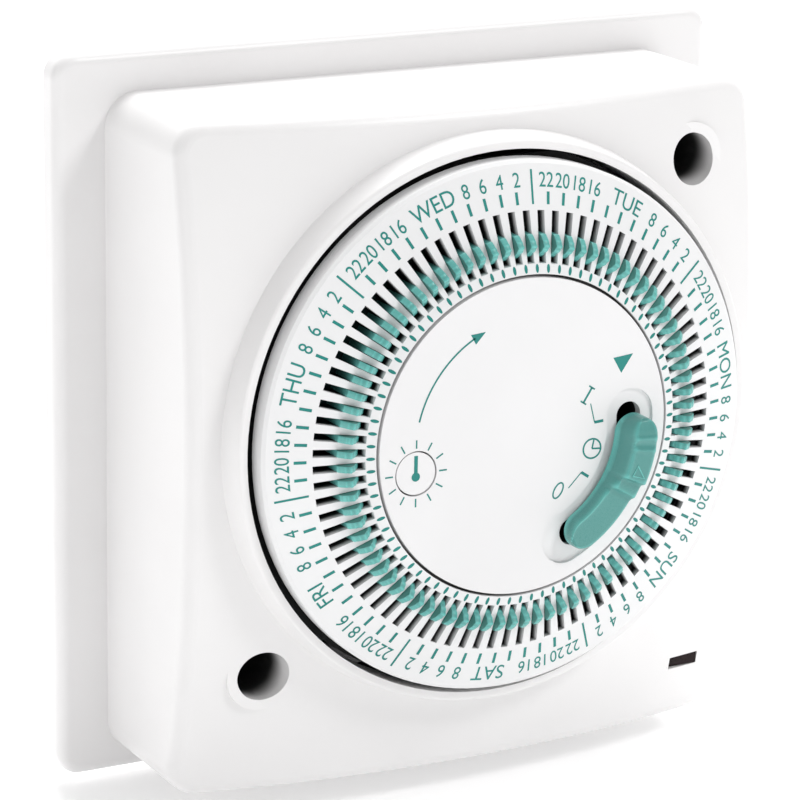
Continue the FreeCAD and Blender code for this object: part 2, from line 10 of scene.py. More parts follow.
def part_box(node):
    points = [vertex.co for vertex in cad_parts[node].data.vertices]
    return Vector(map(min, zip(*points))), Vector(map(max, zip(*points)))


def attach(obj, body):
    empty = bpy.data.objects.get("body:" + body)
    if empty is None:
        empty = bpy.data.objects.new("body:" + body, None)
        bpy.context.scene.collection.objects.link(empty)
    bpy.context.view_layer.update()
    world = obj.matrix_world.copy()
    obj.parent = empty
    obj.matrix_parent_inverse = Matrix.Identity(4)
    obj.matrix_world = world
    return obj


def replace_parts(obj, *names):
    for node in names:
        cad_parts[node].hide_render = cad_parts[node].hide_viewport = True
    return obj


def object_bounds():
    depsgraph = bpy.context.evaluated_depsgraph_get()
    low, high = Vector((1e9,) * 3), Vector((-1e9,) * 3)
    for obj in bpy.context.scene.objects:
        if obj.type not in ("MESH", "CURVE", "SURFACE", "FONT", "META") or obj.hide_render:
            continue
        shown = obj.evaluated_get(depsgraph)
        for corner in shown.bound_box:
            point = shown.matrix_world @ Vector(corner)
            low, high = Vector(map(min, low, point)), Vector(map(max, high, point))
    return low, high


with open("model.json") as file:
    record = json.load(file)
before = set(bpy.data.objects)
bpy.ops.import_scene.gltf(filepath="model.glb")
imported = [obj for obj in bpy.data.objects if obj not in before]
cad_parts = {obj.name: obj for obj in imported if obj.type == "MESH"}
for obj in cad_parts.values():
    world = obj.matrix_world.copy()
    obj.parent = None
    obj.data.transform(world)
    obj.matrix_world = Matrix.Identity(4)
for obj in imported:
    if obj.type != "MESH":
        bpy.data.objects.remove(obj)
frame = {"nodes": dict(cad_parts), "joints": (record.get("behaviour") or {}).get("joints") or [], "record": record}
CAD_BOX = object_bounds()
MM = 0.001

# The dial's axis and the levels of its faces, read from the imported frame. Depths run out of the wall.
AXIS = Vector(next(j["pos_m"] for j in frame["joints"] if j["name"] == "dial_turn"))
DIAL_LOW, DIAL_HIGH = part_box("programme_dial")
RIM_RADIUS = (DIAL_HIGH.x - DIAL_LOW.x) / 2 / MM
DIAL_FRONT = -DIAL_LOW.y / MM
DISC_FRONT = -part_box("fascia_disc")[0].y / MM
DISC_RADIUS = (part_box("fascia_disc")[1].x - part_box("fascia_disc")[0].x) / 2 / MM
INDICATOR_LOW, INDICATOR_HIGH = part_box("running_indicator")
INDICATOR = (INDICATOR_LOW + INDICATOR_HIGH) / 2
LEVER_FRONT = -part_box("override_lever")[0].y / MM

# The ring's cone falls away from its inner edge to the rim's rounded corner.
CONE_INNER = DISC_RADIUS + 0.5
CONE_OUTER = RIM_RADIUS - 0.5
CONE_FALL = 4.95

# The ring's slots. Angles are in degrees, and FIRST_SLOT is where Wednesday starts.
SLOTS = 84
PITCH = 360 / SLOTS
SLOT_PHASE = 2.77
FIRST_SLOT = SLOT_PHASE + 31 * PITCH
SLOTS_END = 36.0
DAYS = ("WED", "TUE", "MON", "SUN", "SAT", "FRI", "THU")
DAY_NODES = ("wednesday", "tuesday", "monday", "sunday", "saturday", "friday", "thursday")
PER_DAY = SLOTS // len(DAYS)
INK = 0.035              # how far printed marks stand proud

# The cover's two screw wells: how far across and how far up or down they stand from the dial's
# axis, their radius, and the level of their mouths.
SCREW_REACH = 38.3
SCREW_WELL = 4.2
WELL_MOUTH = 35.4

# The lever's centre line about the dial's axis, its half width, and its ends in degrees.
LEVER_REACH = 19.3
LEVER_HALF = 2.9
LEVER_ENDS = (-57.5, -3.5)


def place(x, y, depth):
    """A point given from the dial's axis in millimetres, with its depth out of the wall."""
    return Vector((AXIS.x + x * MM, -depth * MM, AXIS.z + y * MM))


def polar(radius, angle, depth):
    """A point at a radius and an angle, in degrees, about the dial's axis."""
    turn = math.radians(angle)
    return place(radius * math.cos(turn), radius * math.sin(turn), depth)


def cone_depth(radius):
    """Depth of the dial's coned face at a radius."""
    return DIAL_FRONT - CONE_FALL * (radius - CONE_INNER) / (CONE_OUTER - CONE_INNER)


def new_piece(name, bm, material, smooth=None):
    """A mesh piece, shaded smooth across edges that turn less than the angle smooth, if one is given."""
    mesh = bpy.data.meshes.new(name)
    bmesh.ops.recalc_face_normals(bm, faces=bm.faces)
    bm.to_mesh(mesh)
    bm.free()
    piece = bpy.data.objects.new(name, mesh)
    bpy.context.scene.collection.objects.link(piece)
    mesh.materials.append(material)
    if smooth is not None:
        mesh.shade_smooth()
        mesh.set_sharp_from_angle(angle=math.radians(smooth))
    return piece


# ---------------------------------------------------------------- materials

def node_material(name):
    material = bpy.data.materials.new(name)
    material.use_nodes = True
    return material, material.node_tree.nodes, material.node_tree.links


def position(nodes, links, scale=(1, 1, 1)):
    """Places in millimetres, which don't slide over a piece that moves."""
    coordinates = nodes.new("ShaderNodeTexCoord")
    mapping = nodes.new("ShaderNodeMapping")
    mapping.inputs["Scale"].default_value = [value / MM for value in scale]
    links.new(coordinates.outputs["Object"], mapping.inputs["Vector"])
    return mapping.outputs["Vector"]


def noise(nodes, links, where, scale, detail=3.0):
    texture = nodes.new("ShaderNodeTexNoise")
    texture.inputs["Scale"].default_value = scale
    texture.inputs["Detail"].default_value = detail
    links.new(where, texture.inputs["Vector"])
    return texture.outputs["Fac"]


def ramp(nodes, links, factor, low, high, start=0.35, end=0.65):
    """A smooth change between two colours or two greys."""
    blend = nodes.new("ShaderNodeValToRGB")
    stops = blend.color_ramp.elements
    stops[0].position, stops[1].position = start, end
    stops[0].color = low if len(low) == 4 else (*low, 1)
    stops[1].color = high if len(high) == 4 else (*high, 1)
    links.new(factor, blend.inputs["Fac"])
    return blend.outputs["Color"]


def grey(value):
    return (value, value, value)


def bump(nodes, links, height, distance, strength, after=None):
    node = nodes.new("ShaderNodeBump")
    node.inputs["Distance"].default_value = distance * MM
    node.inputs["Strength"].default_value = strength
    links.new(height, node.inputs["Height"])
    if after is not None:
        links.new(after, node.inputs["Normal"])
    return node.outputs["Normal"]


def calculate(nodes, links, operation, *values):
    """One step of arithmetic on sockets and plain numbers."""
    node = nodes.new("ShaderNodeMath")
    node.operation = operation
    for socket, value in zip(node.inputs, values):
        if isinstance(value, (int, float)):
            socket.default_value = value
        else:
            links.new(value, socket)
    return node.outputs["Value"]


def spread(nodes, links, value, start, end, low=0.0, high=1.0):
    """A value carried from start..end to low..high, and held at both ends."""
    node = nodes.new("ShaderNodeMapRange")
    node.interpolation_type = "SMOOTHSTEP"
    for name, number in (("From Min", start), ("From Max", end), ("To Min", low), ("To Max", high)):
        node.inputs[name].default_value = number
    links.new(value, node.inputs["Value"])
    return node.outputs["Result"]


def radius_and_depth(nodes, links, x, y):
    """Distance from a line straight out of the wall, and depth along it, in millimetres."""
    parts = nodes.new("ShaderNodeSeparateXYZ")
    links.new(position(nodes, links), parts.inputs["Vector"])
    across = calculate(nodes, links, "SUBTRACT", parts.outputs["X"], x)
    upward = calculate(nodes, links, "SUBTRACT", parts.outputs["Z"], AXIS.z / MM + y)
    squares = calculate(nodes, links, "ADD", calculate(nodes, links, "POWER", across, 2.0),
                        calculate(nodes, links, "POWER", upward, 2.0))
    radius = calculate(nodes, links, "SQRT", squares)
    return radius, calculate(nodes, links, "MULTIPLY", parts.outputs["Y"], -1.0)


def scale_colour(material, shade):
    """Scale a material's base colour by a socket's value."""
    nodes, links = material.node_tree.nodes, material.node_tree.links
    base = nodes["Principled BSDF"].inputs["Base Color"]
    scaled = nodes.new("ShaderNodeVectorMath")
    scaled.operation = "SCALE"
    links.new(base.links[0].from_socket, scaled.inputs[0])
    links.new(shade, scaled.inputs["Scale"])
    links.new(scaled.outputs["Vector"], base)


def dim_by(material, amount):
    """Darken a material where the amount is high, at 1 to black."""
    nodes, links = material.node_tree.nodes, material.node_tree.links
    scale_colour(material, calculate(nodes, links, "SUBTRACT", 1.0, amount))


def paint_flank_shade(material):
    """Painted shade on a tappet's flank, darker toward the floor of the slot."""
    nodes, links = material.node_tree.nodes, material.node_tree.links
    _, depth = radius_and_depth(nodes, links, 0, 0)
    scale_colour(material, spread(nodes, links, depth, DIAL_FRONT - 5.5, DIAL_FRONT - 1.2, 0.06, 1.0))


def paint_edge_highlights(material):
    """Painted highlights: paler convex edges."""
    nodes, links = material.node_tree.nodes, material.node_tree.links
    geometry = nodes.new("ShaderNodeNewGeometry")
    edge = spread(nodes, links, geometry.outputs["Pointiness"], 0.505, 0.58, 1.0, 1.75)
    scale_colour(material, edge)


def shade_slots(material):
    """Dark walls deep in the dial's slots, where little light gets in."""
    nodes, links = material.node_tree.nodes, material.node_tree.links
    radius, depth = radius_and_depth(nodes, links, 0, 0)
    slope = CONE_FALL / (CONE_OUTER - CONE_INNER)
    outward = calculate(nodes, links, "SUBTRACT", radius, CONE_INNER)
    fall = calculate(nodes, links, "MULTIPLY", outward, slope)
    surface = calculate(nodes, links, "SUBTRACT", DIAL_FRONT, fall)
    below = spread(nodes, links, calculate(nodes, links, "SUBTRACT", surface, depth), 0.25, 1.6)
    inside = spread(nodes, links, radius, SLOTS_END, SLOTS_END + 0.6, 1.0, 0.0)
    shade = calculate(nodes, links, "MULTIPLY", below, inside)
    dim_by(material, calculate(nodes, links, "MULTIPLY", shade, 0.97))


def shade_screw_holes(material):
    """Painted shade in the deep screw wells of the cover, dark a little below their rounded mouths."""
    nodes, links = material.node_tree.nodes, material.node_tree.links
    for side in (1, -1):
        radius, depth = radius_and_depth(nodes, links, side * SCREW_REACH, side * SCREW_REACH)
        inside = spread(nodes, links, radius, SCREW_WELL + 0.05, SCREW_WELL + 0.35, 1.0, 0.0)
        below = spread(nodes, links, depth, WELL_MOUTH - 6.5, WELL_MOUTH - 1.2, 1.0, 0.0)
        shade = calculate(nodes, links, "MULTIPLY", inside, below)
        dim_by(material, calculate(nodes, links, "MULTIPLY", shade, 0.96))


def moulded(name, light, dark, gloss, grain=14.0, grain_depth=0.012, scatter=0.0):
    """Injection-moulded plastic: slow colour drift, a fine spark-eroded grain and faint flow waves."""
    material, nodes, links = node_material(name)
    shader = nodes["Principled BSDF"]
    where = position(nodes, links)
    drift = noise(nodes, links, where, 0.035)
    fine = noise(nodes, links, where, grain, 2.0)
    links.new(ramp(nodes, links, drift, dark, light), shader.inputs["Base Color"])
    links.new(ramp(nodes, links, fine, grey(gloss - 0.05), grey(gloss + 0.06)), shader.inputs["Roughness"])
    waves = bump(nodes, links, drift, 0.25, 0.15)
    links.new(bump(nodes, links, fine, grain_depth, 0.5, waves), shader.inputs["Normal"])
    shader.inputs["IOR"].default_value = 1.5
    if scatter:
        shader.inputs["Subsurface Weight"].default_value = scatter
        shader.inputs["Subsurface Radius"].default_value = (1.0, 0.9, 0.8)
        shader.inputs["Subsurface Scale"].default_value = 0.6 * MM
    return material


def metal(name, light, dark, gloss, brushed=(1, 1, 12)):
    """Plated or drawn metal with fine brush lines and duller patches."""
    material, nodes, links = node_material(name)
    shader = nodes["Principled BSDF"]
    shader.inputs["Metallic"].default_value = 1.0
    lines = noise(nodes, links, position(nodes, links, brushed), 6.0, 4.0)
    patches = noise(nodes, links, position(nodes, links), 0.4)
    links.new(ramp(nodes, links, patches, dark, light), shader.inputs["Base Color"])
    links.new(ramp(nodes, links, lines, grey(gloss - 0.08), grey(gloss + 0.12)), shader.inputs["Roughness"])
    links.new(bump(nodes, links, lines, 0.01, 0.4), shader.inputs["Normal"])
    return material


def clear(name, tint, gloss):
    """Clear tinted glass with a slight haze."""
    material, nodes, links = node_material(name)
    shader = nodes["Principled BSDF"]
    haze = noise(nodes, links, position(nodes, links), 2.0)
    links.new(ramp(nodes, links, haze, tint, [min(1, c * 1.15) for c in tint]), shader.inputs["Base Color"])
    links.new(ramp(nodes, links, haze, grey(gloss), grey(gloss + 0.08)), shader.inputs["Roughness"])
    shader.inputs["Transmission Weight"].default_value = 0.85
    shader.inputs["IOR"].default_value = 1.49
    return material


CASING = moulded("casing_abs", (0.835, 0.825, 0.825), (0.81, 0.80, 0.80), 0.34, grain=9.0)
DIAL = moulded("dial_abs", (0.81, 0.81, 0.815), (0.785, 0.785, 0.79), 0.42, grain=16.0)
DISC = moulded("disc_abs", (0.80, 0.795, 0.80), (0.775, 0.77, 0.775), 0.42, grain=16.0)
TEAL = moulded("teal_acetal", (0.085, 0.30, 0.275), (0.07, 0.265, 0.245), 0.3, grain=12.0)
# teal darkened almost to black for the tappets' buried tails and the carrier: painted shade deep in the dial
NEAR_BLACK_SHADE_TEAL = moulded("teal_painted_deep_shade", (0.006, 0.036, 0.032), (0.004, 0.026, 0.023), 0.6, grain=12.0)
PRINT = moulded("teal_print", (0.005, 0.235, 0.205), (0.003, 0.2, 0.175), 0.5, grain=30.0,
                grain_depth=0.004)
# the cover screws' steel darkened almost to black: painted shade deep in their wells
WELL_SHADE_STEEL = metal("steel_painted_well_shade", (0.05, 0.05, 0.052), (0.03, 0.03, 0.032), 0.45)
# a darker copy of the teal for the tappets' flanks, darker still toward the slot's floor: painted shade
FLANK_SHADE_TEAL = moulded("tappet_flank_acetal", (0.06, 0.27, 0.24), (0.045, 0.23, 0.20), 0.4, grain=12.0)
paint_flank_shade(FLANK_SHADE_TEAL)
# painted highlights on the teal's convex edges
paint_edge_highlights(TEAL)
shade_slots(DIAL)
shade_screw_holes(CASING)
BLACK = moulded("black_nylon", (0.016, 0.016, 0.017), (0.010, 0.010, 0.011), 0.55, grain=8.0)
ACETAL = moulded("natural_acetal", (0.72, 0.69, 0.60), (0.66, 0.63, 0.54), 0.4, scatter=0.1)
SMOKE = moulded("smoked_lens", (0.016, 0.007, 0.008), (0.010, 0.005, 0.006), 0.3, grain=3.0)
SMOKE.node_tree.nodes["Principled BSDF"].inputs["Specular IOR Level"].default_value = 0.15
STEEL = metal("zinc_plated_steel", (0.66, 0.65, 0.62), (0.55, 0.55, 0.54), 0.3)
BRASS = metal("brass", (0.80, 0.62, 0.30), (0.70, 0.52, 0.24), 0.28)
LAMP = clear("lamp_glass", (0.95, 0.62, 0.40), 0.06)
SLOT_LOOKS = {"casing": CASING, "dial_plastic": DIAL, "teal_plastic": TEAL, "plated_steel": STEEL,
              "dark_lens": SMOKE, "lamp_glass": LAMP, "movement_plastic": BLACK, "gear_plastic": ACETAL,
              "brass": BRASS}
# nodes that look different from the rest of their slot; the tappet carrier's near-black teal and the cover screws'
# near-black steel are painted shade
NODE_LOOKS = {"tappet_carrier": NEAR_BLACK_SHADE_TEAL, "dial_gear": BLACK, "cover_screws": WELL_SHADE_STEEL,
              "fascia_disc": DISC, "running_indicator": DISC}


def finish_cad_nodes():
    """Give each carried-over CAD node the procedural material of its slot."""
    for row in frame["record"]["subparts"]:
        node = frame["nodes"][row["node"]]
        node.data.materials.clear()
        node.data.materials.append(NODE_LOOKS.get(row["node"], SLOT_LOOKS[row["material_slot"]]))


# ---------------------------------------------------------------- print

def ink_strip(bm, points, width, depth_at, closed=False):
    """A thin raised line of ink through points (x, y) from the dial's axis."""
    count = len(points)
    sides = []
    for i, point in enumerate(points):
        before = points[(i - 1) % count] if closed or i else point
        after = points[(i + 1) % count] if closed or i < count - 1 else point
        along = (Vector(after) - Vector(before)).normalized()
        across = Vector((-along.y, along.x)) * width / 2
        sides.append((Vector(point) + across, Vector(point) - across))
    low = [[bm.verts.new(place(p.x, p.y, depth_at(p.length) - INK)) for p in pair] for pair in sides]
    high = [[bm.verts.new(place(p.x, p.y, depth_at(p.length) + INK)) for p in pair] for pair in sides]
    for i in range(count if closed else count - 1):
        k = (i + 1) % count
        bm.faces.new((high[i][0], high[i][1], high[k][1], high[k][0]))
        bm.faces.new((low[i][1], low[i][0], low[k][0], low[k][1]))
        bm.faces.new((low[i][0], high[i][0], high[k][0], low[k][0]))
        bm.faces.new((high[i][1], low[i][1], low[k][1], high[k][1]))
    if not closed:
        for i in (0, count - 1):
            bm.faces.new((low[i][0], low[i][1], high[i][1], high[i][0]))


def ink_patch(bm, outline, depth_at):
    """A filled patch of ink inside a convex outline."""
    low = [bm.verts.new(place(p[0], p[1], depth_at(math.hypot(*p)) - INK)) for p in outline]
    high = [bm.verts.new(place(p[0], p[1], depth_at(math.hypot(*p)) + INK)) for p in outline]
    bm.faces.new(high)
    bm.faces.new(low[::-1])
    for i in range(len(outline)):
        k = (i + 1) % len(outline)
        bm.faces.new((low[i], low[k], high[k], high[i]))


def spot_at(angle, radius):
    """A point (x, y) at an angle and a radius about the dial's axis."""
    turn = math.radians(angle)
    return (radius * math.cos(turn), radius * math.sin(turn))


def radial(angle, start, end):
    """The two ends of a line that points away from the dial's axis."""
    return [spot_at(angle, start), spot_at(angle, end)]


def arc(radius, start, end, steps):
    """Points along an arc about the dial's axis."""
    return [spot_at(start + (end - start) * i / steps, radius) for i in range(steps + 1)]


def oval(centre, length, width, angle, steps=14):
    """An ellipse whose length points along an angle."""
    turn = math.radians(angle)
    out = []
    for i in range(steps):
        t = math.tau * i / steps
        u, v = length / 2 * math.cos(t), width / 2 * math.sin(t)
        out.append((centre[0] + u * math.cos(turn) - v * math.sin(turn),
                    centre[1] + u * math.sin(turn) + v * math.cos(turn)))
    return out


CAP_SHARE = 0.73          # a capital's share of the font's size


def lettering(bm, words, height, baseline, angle, squeeze=0.86):
    """Letters bent round the dial, with their tops outward and lying on its cone."""
    curve = bpy.data.curves.new("letters", "FONT")
    curve.body = words
    curve.size = height / CAP_SHARE
    curve.align_x = "CENTER"
    curve.extrude = INK
    curve.resolution_u = 4
    carrier = bpy.data.objects.new("letters", curve)
    mesh = bpy.data.meshes.new_from_object(carrier)
    verts = []
    for v in mesh.vertices:
        radius = baseline + v.co.y
        turn = math.radians(angle) - v.co.x * squeeze / (baseline + height / 2)
        x, y = radius * math.cos(turn), radius * math.sin(turn)
        verts.append(bm.verts.new(place(x, y, cone_depth(radius) + v.co.z)))
    for face in mesh.polygons:
        bm.faces.new([verts[i] for i in face.vertices])
    bpy.data.objects.remove(carrier)
    bpy.data.meshes.remove(mesh)
    bpy.data.curves.remove(curve)


# radii of the dial's marks, and the height of its numerals
SHORT_TICK = (36.5, 38.4)
LONG_TICK_END = 41.7
DIGIT_BASE, DIGIT_HEIGHT = 39.1, 2.35
DOT_REACH = 26.95


def dial_print():
    """The week: a tick on every bar, a long one at midnight, the hours and the days."""
    ticks, digits = bmesh.new(), bmesh.new()
    for number, day in enumerate(DAYS):
        start = FIRST_SLOT + PITCH / 2 - number * PER_DAY * PITCH
        for i in range(PER_DAY):
            angle = start - i * PITCH
            end, width = (LONG_TICK_END, 0.34) if i == 0 else (SHORT_TICK[1], 0.48)
            ink_strip(ticks, radial(angle, SHORT_TICK[0], end), width, cone_depth)
            spot = spot_at(angle, DOT_REACH)
            ink_patch(ticks, oval(spot, 1.35, 0.55, angle), cone_depth)
        for i, hour in enumerate(("22", "20", "18", "16"), start=1):
            lettering(digits, hour, DIGIT_HEIGHT, DIGIT_BASE, start - (i - 0.12) * PITCH)
        lettering(digits, day, DIGIT_HEIGHT * 1.12, DIGIT_BASE - 0.1, start - 6.15 * PITCH, squeeze=0.95)
        for i, hour in enumerate(("8", "6", "4", "2"), start=8):
            lettering(digits, hour, DIGIT_HEIGHT, DIGIT_BASE, start - (i + 0.1) * PITCH)
    for name, bm in (("dial_ticks", ticks), ("dial_numerals", digits)):
        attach(new_piece(name, bm, PRINT), "dial")


def from_axis(point):
    """The point (x, y) of a point in the frame, in millimetres from the dial's axis."""
    return ((point.x - AXIS.x) / MM, (point.z - AXIS.z) / MM)


def on_disc(_radius):
    return DISC_FRONT


# The clock mark stands at the middle of the lever's three places, with a leader for I and for 0
# as far round on either side.
LEVER_MIDDLE = -15.0
LEADER_SPREAD = 18.9
ARROW_REACH = 19.3
INDICATOR_TICKS = 12


def disc_print():
    """The fixed marks: turning arrow, ring of running ticks, time pointer and the lever's three marks."""
    bm = bmesh.new()
    ink_strip(bm, arc(ARROW_REACH + 0.05, 166, 118.5, 26), 0.28, on_disc)
    head = [spot_at(112.6, ARROW_REACH), spot_at(119.6, 20.25), spot_at(119.6, 18.4)]
    ink_patch(bm, head, on_disc)
    centre = from_axis(INDICATOR)
    for i in range(INDICATOR_TICKS):
        turn = math.tau * i / INDICATOR_TICKS
        ends = [(centre[0] + r * math.cos(turn), centre[1] + r * math.sin(turn)) for r in (4.05, 5.4)]
        ink_strip(bm, ends, 0.24, on_disc)
    pointer = [spot_at(30.4, 22.5), spot_at(34.9, 19.3), spot_at(25.9, 19.3)]
    ink_patch(bm, pointer, on_disc)
    lever_marks(bm)
    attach(new_piece("disc_print", bm, PRINT), "housing")


def lever_marks(bm):
    """Two leaders, the I at the top, the 0 at the foot and the clock between them."""
    for side in (1, -1):
        angle = LEVER_MIDDLE + side * LEADER_SPREAD
        lead = spot_at(LEVER_MIDDLE + side * 33.7, 12.55)
        knee, foot = radial(angle, 12.75, 14.35)
        ink_strip(bm, [lead, knee], 0.17, on_disc)
        ink_strip(bm, [knee, foot], 0.46, on_disc)
    low, high = spot_at(22.2, 11.4), spot_at(28.8, 13.76)
    ink_strip(bm, [low, high], 0.34, on_disc)
    along = (Vector(high) - Vector(low)).normalized()
    across = Vector((-along.y, along.x)) * 0.62
    for end in (low, high):
        ink_strip(bm, [tuple(Vector(end) - across), tuple(Vector(end) + across)], 0.26, on_disc)
    ink_strip(bm, oval(spot_at(-56.3, 11.53), 2.7, 1.45, 60, 28), 0.26, on_disc, closed=True)
    clock = spot_at(LEVER_MIDDLE - 0.4, 12.87)
    ink_strip(bm, oval(clock, 3.2, 3.2, 0, 32), 0.28, on_disc, closed=True)
    for angle, reach in ((78, 1.45), (-5, 1.45)):
        turn = math.radians(angle)
        tip = (clock[0] + reach * math.cos(turn), clock[1] + reach * math.sin(turn))
        ink_strip(bm, [clock, tip], 0.26, on_disc)


def indicator_mark():
    """The keyhole pointer on the running indicator, a little proud of its cap."""
    bm = bmesh.new()
    cx, cy = from_axis(INDICATOR)
    front = -INDICATOR_LOW.y / MM

    def on_cap(_radius):
        return front

    ink_strip(bm, [(cx, cy - 0.4), (cx, cy + 2.85)], 0.62, on_cap)
    ink_patch(bm, oval((cx, cy - 0.55), 1.45, 1.45, 0, 22), lambda _radius: front + INK / 2)
    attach(new_piece("indicator_mark", bm, PRINT), "indicator")


# ---------------------------------------------------------------- tappets

TAPPET_HALF = 0.52
TAPPET_LOW, TAPPET_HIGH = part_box("tappets_monday")
TAPPET_BACK = -TAPPET_HIGH.y / MM
TAPPET_FRONT = -TAPPET_LOW.y / MM
FIN_INNER, FIN_OUTER, TAIL_OUTER, SHELF = 28.5, 32.2, 36.9, 42.4
TAPPET_BEVEL = 0.16
TAPPET_SHRINK = 0.12
CROWN_STEPS = 40
CROWN_RISE = 1.97


def tappet_outline():
    """Radius and depth round one tappet: a flat slider with a fin whose crown has four soft ribs."""
    outline = [(FIN_INNER, TAPPET_BACK), (TAIL_OUTER, TAPPET_BACK), (TAIL_OUTER, SHELF), (FIN_OUTER, SHELF),
               (FIN_OUTER, TAPPET_FRONT - 2.0)]
    for i in range(CROWN_STEPS + 1):
        share = i / CROWN_STEPS
        radius = FIN_OUTER - 0.02 - (FIN_OUTER - FIN_INNER - 0.04) * share
        crown = 1 - (abs(share - 0.46) / 0.54) ** 1.5
        rib = 0.07 * math.cos(math.tau * 4 * (share - 0.2)) if 0.2 < share < 0.95 else 0.0
        outline.append((radius, TAPPET_FRONT - 2.1 + CROWN_RISE * crown + rib))
    outline.append((FIN_INNER, TAPPET_FRONT - 2.0))
    return outline


def add_tappet(bm, angle):
    """Add the tappet of one slot, its fin bevelled along both flanks."""
    turn = math.radians(angle)
    out = Vector((math.cos(turn), 0, math.sin(turn)))
    side = Vector((-math.sin(turn), 0, math.cos(turn)))
    outline = tappet_outline()
    middle = Vector((30.4, TAPPET_FRONT - 2.6))
    loops = []
    inset = TAPPET_HALF - TAPPET_BEVEL
    for offset, shrink in ((-TAPPET_HALF, TAPPET_SHRINK), (-inset, 0), (inset, 0),
                           (TAPPET_HALF, TAPPET_SHRINK)):
        loop = []
        for radius, depth in outline:
            point = Vector((radius, depth))
            if shrink and depth > SHELF:
                point -= (point - middle).normalized() * shrink
            where = AXIS + out * point.x * MM + side * offset * MM
            where.y = -point.y * MM
            loop.append(bm.verts.new(where))
        loops.append(loop)
    count = len(outline)
    for a, b in zip(loops, loops[1:]):
        for i in range(count):
            k = (i + 1) % count
            bm.faces.new((a[i], a[k], b[k], b[i]))
    bm.faces.new(loops[0][::-1])
    bm.faces.new(loops[-1])


def slider_piece(name, bm, body, node):
    """One or more tappets in teal, with painted shade: darker flanks and nearly black buried tails."""
    piece = new_piece(name, bm, TEAL, smooth=40)
    piece.data.materials.append(NEAR_BLACK_SHADE_TEAL)
    piece.data.materials.append(FLANK_SHADE_TEAL)
    # faces deep in the dial take the near-black teal and the flanks the darker teal, both painted shade
    shelf = -(SHELF + 0.01) * MM
    for face in piece.data.polygons:
        if all(piece.data.vertices[i].co.y > shelf for i in face.vertices):
            face.material_index = 1
        elif len(face.vertices) > 4:
            face.material_index = 2
    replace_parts(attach(piece, body), node)


def tappet_pieces():
    """Wednesday's tappets slide one by one, and the other days' ride on the dial together."""
    for i in range(PER_DAY):
        bm = bmesh.new()
        add_tappet(bm, FIRST_SLOT - i * PITCH)
        node = "tappet_%02d" % (i + 1)
        slider_piece("slider_%02d" % (i + 1), bm, node, node)
    for number, day in enumerate(DAY_NODES[1:], start=1):
        bm = bmesh.new()
        for i in range(PER_DAY):
            add_tappet(bm, FIRST_SLOT - (number * PER_DAY + i) * PITCH)
        slider_piece("sliders_" + day, bm, "dial", "tappets_" + day)


# ---------------------------------------------------------------- lever

def soft(value, start, end):
    """A smooth step from 0 at start to 1 at end."""
    t = min(1.0, max(0.0, (value - start) / (end - start)))
    return t * t * (3 - 2 * t)


def ridge(value, crest, width):
    """A rounded ridge that is 1 at its crest and fades to 0 either side."""
    return math.exp(-((value - crest) / width) ** 2)


def lever_surface(share, across):
    """Depth of the lever's top: share runs from its tail to its tip, across from -1 inward to 1 outward."""
    tail = DISC_FRONT + 2.9
    rise = 0.45 * soft(share, 0.455, 0.49) + 0.55 * soft(share, 0.56, 0.585)
    depth = tail + (LEVER_FRONT - tail - 0.3) * rise - 0.35 * soft(share, 0.88, 1.0)
    crest = -0.80 + 0.26 * soft(share, 0.35, 0.62)
    flat = soft(across, crest - 0.02, crest + 0.12) * (1 - soft(across, 0.75, 0.95))
    for line, height in ((0.487, 0.1), (0.585, 0.1), (0.79, 0.2), (0.83, -0.16), (0.87, 0.2)):
        depth += height * ridge(share, line, 0.011) * flat
    depth += 0.14 * ridge(across, crest, 0.1)
    if across < crest:
        depth -= (1.2 + 1.3 * rise) * ((crest - across) / (crest + 1)) ** 1.3
    return depth - 0.6 * soft(across, 0.72, 1.0)


def lever_piece():
    """The curved thumb piece: a low smooth tail and a raised pad with ridges."""
    bm = bmesh.new()
    along_steps, across_steps = 96, 20
    start, end = LEVER_ENDS
    cap = math.degrees(LEVER_HALF / LEVER_REACH)
    first, last = start - cap, end + cap
    top, foot = [], []
    for i in range(along_steps + 1):
        share = (1 - math.cos(math.pi * i / along_steps)) / 2
        angle = first + (last - first) * share
        past = max(start - angle, angle - end, 0) / cap
        half = LEVER_HALF * math.sqrt(max(0.0, 1 - past * past)) + 0.02
        row = []
        for j in range(across_steps + 1):
            v = math.sin(math.pi * (j / across_steps - 0.5))
            edge = max(abs(v), past)
            depth = lever_surface(share, v) - 0.9 * max(0.0, edge - 0.86) / 0.14 * max(0.0, edge - 0.5)
            row.append(bm.verts.new(polar(LEVER_REACH + v * half, angle, depth)))
        top.append(row)
        edges = (LEVER_REACH - half, LEVER_REACH + half)
        foot.append([bm.verts.new(polar(radius, angle, DISC_FRONT + 0.3)) for radius in edges])
    for i in range(along_steps):
        for j in range(across_steps):
            bm.faces.new((top[i][j], top[i][j + 1], top[i + 1][j + 1], top[i + 1][j]))
        bm.faces.new((top[i][0], top[i + 1][0], foot[i + 1][0], foot[i][0]))
        bm.faces.new((top[i][-1], foot[i][1], foot[i + 1][1], top[i + 1][-1]))
        bm.faces.new((foot[i][0], foot[i + 1][0], foot[i + 1][1], foot[i][1]))
    for i in (0, along_steps):
        bm.faces.new([foot[i][0], *top[i], foot[i][1]])
    piece = new_piece("thumb_lever", bm, TEAL, smooth=50)
    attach(piece, "lever")
    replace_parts(piece, "override_lever")


STEM_HALF = 1.8
STEM_ENDS = (-43, -14.5)
STEM_STEPS = 32


